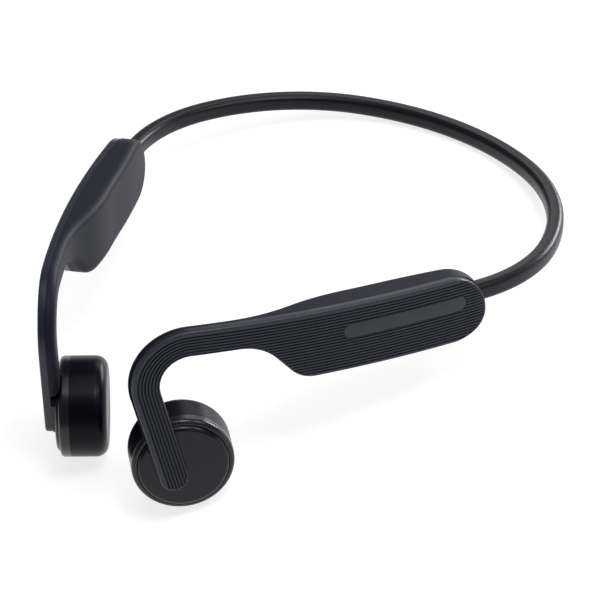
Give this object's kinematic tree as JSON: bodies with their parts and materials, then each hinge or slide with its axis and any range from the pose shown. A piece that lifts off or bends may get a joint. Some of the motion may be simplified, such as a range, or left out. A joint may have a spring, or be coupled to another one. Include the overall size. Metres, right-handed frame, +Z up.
{
  "type": "bone conduction headphones",
  "caption": "Behind-the-neck bone conduction headphones: a springy band, two ribbed pods with ear hooks, and disc transducers that rest in front of the ears.",
  "frame": {"origin": "centre of the footprint, on the surface that the headphones lie on", "axes": "+Z up off that surface, +Y towards the back of the neckband, +X towards the wearer's left; the product lies on both ear pads and the back of its band, so the band leans 19.1 degrees"},
  "size_m": [0.122, 0.1443, 0.0515],
  "materials": {
    "casing": "satin, fine moulded ribs",
    "band": "satin silicone",
    "wire": "drawn",
    "cable": "matte",
    "seal": "matte silicone",
    "clamp": "moulded",
    "disc": "satin",
    "pad": "glossy",
    "copper": "enamelled copper",
    "board": "solder mask",
    "chip": "moulded",
    "ceramic": "matte",
    "battery": "foil",
    "button": "satin",
    "steel": "stamped",
    "light": "clear, frosted"
  },
  "bodies": {
    "neckband": {"neckband_sleeve": "band", "neckband_wire": "wire", "neckband_cable": "cable"},
    "left_arm": {"battery": "battery", "battery_foam": "seal", "button_board": "board", "left_badge_panel": "casing", "left_band_clamp": "clamp", "left_coil_frame": "clamp", "left_cover_seal": "seal", "left_ear_pad": "pad", "left_inner_housing": "casing", "left_magnet": "wire", "left_outer_cover": "casing", "left_pole_plate": "wire", "left_spring_plate": "wire", "left_transducer_cap": "disc", "left_transducer_lead": "cable", "left_transducer_shell": "disc", "left_voice_coil": "copper", "left_yoke": "wire", "multifunction_switch": "steel"},
    "right_arm": {"antenna": "ceramic", "bluetooth_chip": "chip", "circuit_board": "board", "microphone": "chip", "microphone_mesh": "steel", "right_badge_panel": "casing", "right_band_clamp": "clamp", "right_coil_frame": "clamp", "right_cover_seal": "seal", "right_ear_pad": "pad", "right_inner_housing": "casing", "right_magnet": "wire", "right_outer_cover": "casing", "right_pole_plate": "wire", "right_spring_plate": "wire", "right_transducer_cap": "disc", "right_transducer_lead": "cable", "right_transducer_shell": "disc", "right_voice_coil": "copper", "right_yoke": "wire", "status_light": "light", "usb_socket": "steel", "volume_switches": "steel"},
    "port_cover": {"port_cover": "seal"},
    "volume_down": {"volume_down_button": "button"},
    "volume_up": {"volume_up_button": "button"},
    "multifunction": {"multifunction_button": "button"}
  },
  "joints": [
    {"name": "left_flex", "type": "hinge", "parent": "neckband", "child": "left_arm", "pos_m": [0.05522, 0.03898, 0.01292], "axis": [0, 0.3269, 0.9451], "range_deg": [-2, 24], "stiffness_Nm_per_rad": 0.35, "deforming": ["neckband_sleeve", "neckband_wire", "neckband_cable"]},
    {"name": "right_flex", "type": "hinge", "parent": "neckband", "child": "right_arm", "pos_m": [-0.05522, 0.03898, 0.01292], "axis": [0, -0.3269, -0.9451], "range_deg": [-2, 24], "stiffness_Nm_per_rad": 0.35},
    {"name": "multifunction_press", "type": "slide", "parent": "left_arm", "child": "multifunction", "axis": [0, 0.3269, 0.9451], "range_m": [0, 0.0003], "stiffness_N_per_m": 400},
    {"name": "volume_down_press", "type": "slide", "parent": "right_arm", "child": "volume_down", "axis": [0, 0.3269, 0.9451], "range_m": [0, 0.0003], "stiffness_N_per_m": 400},
    {"name": "volume_up_press", "type": "slide", "parent": "right_arm", "child": "volume_up", "axis": [0, 0.3269, 0.9451], "range_m": [0, 0.0003], "stiffness_N_per_m": 400},
    {"name": "port_cover_hinge", "type": "hinge", "parent": "right_arm", "child": "port_cover", "pos_m": [-0.04983, -0.00586, 0.01685], "axis": [0.9015, 0.4091, -0.1415], "range_deg": [0, 100]}
  ]
}
